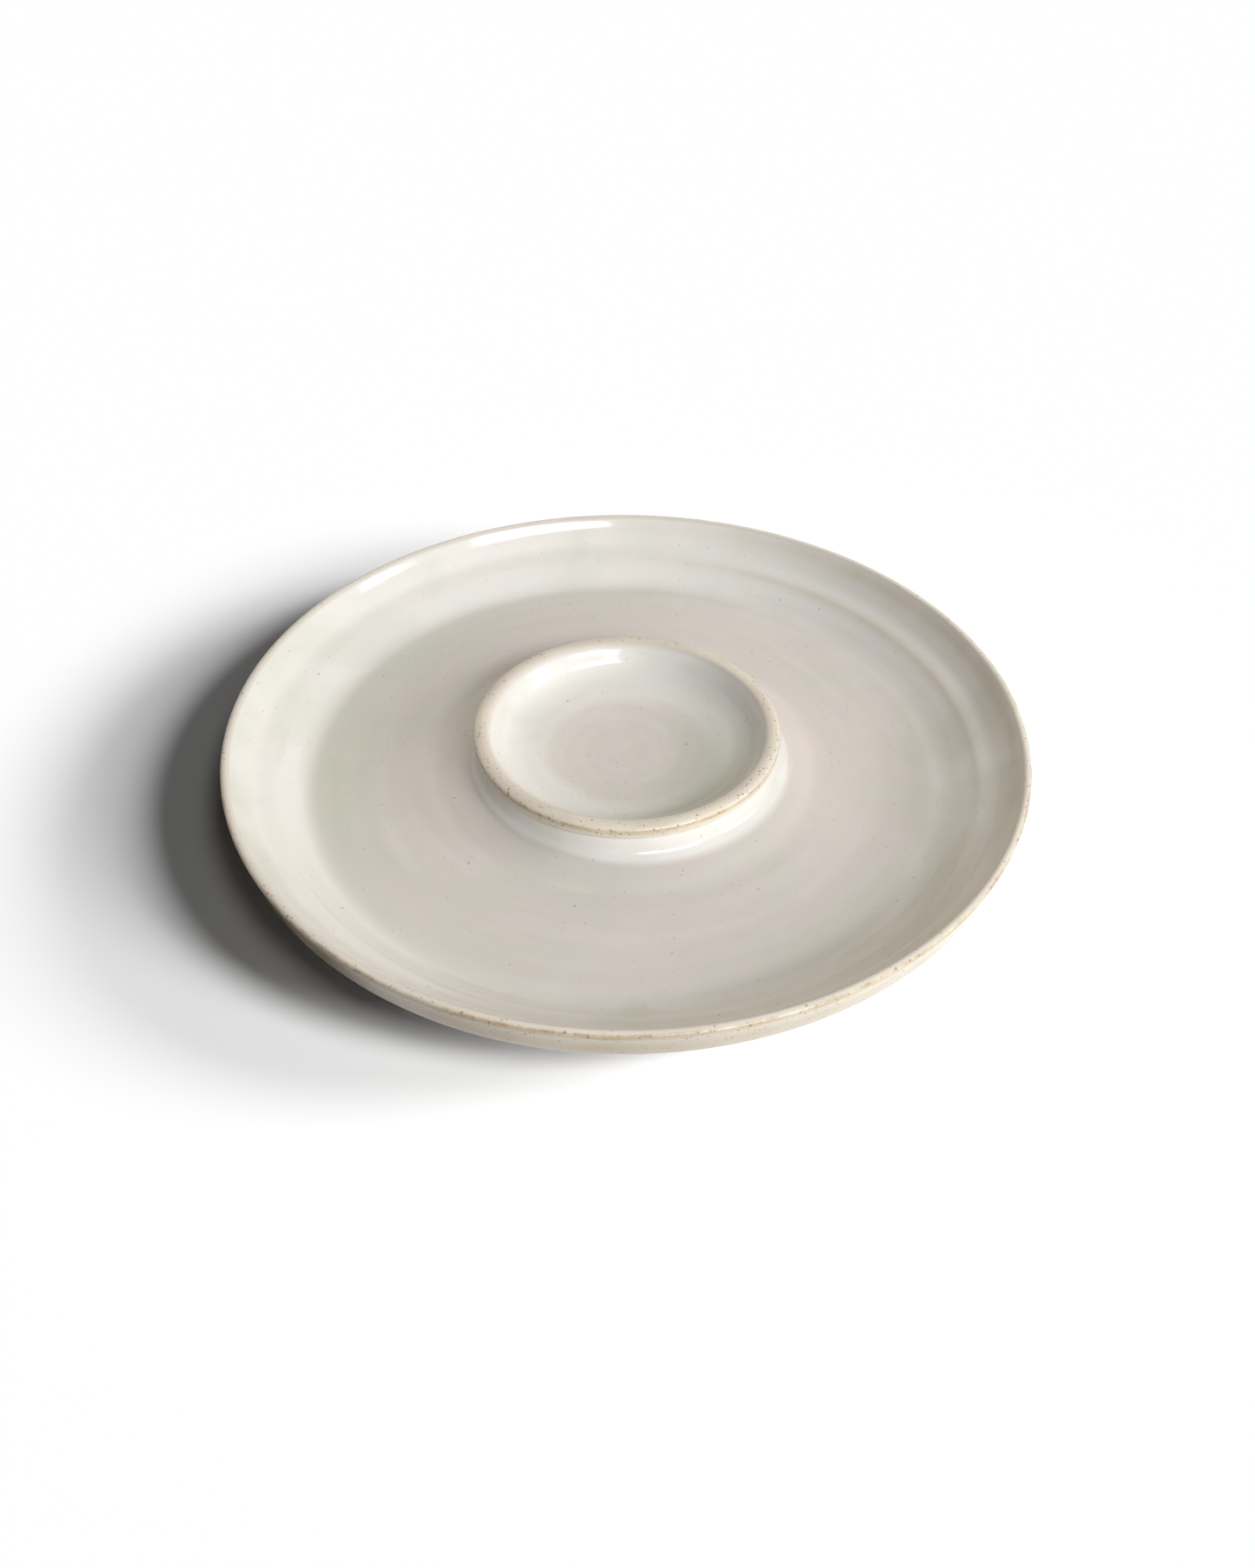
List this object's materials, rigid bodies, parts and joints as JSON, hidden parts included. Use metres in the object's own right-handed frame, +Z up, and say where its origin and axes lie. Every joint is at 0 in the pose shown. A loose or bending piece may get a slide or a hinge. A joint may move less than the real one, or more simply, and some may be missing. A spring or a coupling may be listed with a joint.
{
  "type": "chip and dip server",
  "caption": "Round glazed stoneware platter with a rolled rim and a small shallow dip bowl joined to the middle of its floor.",
  "frame": {"origin": "on the axis of the platter, at the level of the surface that the foot ring stands on", "axes": "+Z up along the axis of the platter; X and Y are free, because every piece is round"},
  "size_m": [0.3048, 0.3048, 0.0359],
  "materials": {
    "stoneware": "fired buff stoneware, under glaze",
    "bare_foot": "bare fired buff stoneware, sanded smooth",
    "cream_glaze": "glossy semi-opaque cream glaze with fine iron specks, tan where it breaks"
  },
  "bodies": {
    "root": {"platter_body": "stoneware", "foot_ring": "bare_foot", "dip_bowl": "stoneware", "joining_collar": "stoneware", "bowl_glaze": "cream_glaze", "chip_well_glaze": "cream_glaze", "outside_glaze": "cream_glaze", "foot_recess_glaze": "cream_glaze"}
  },
  "joints": []
}
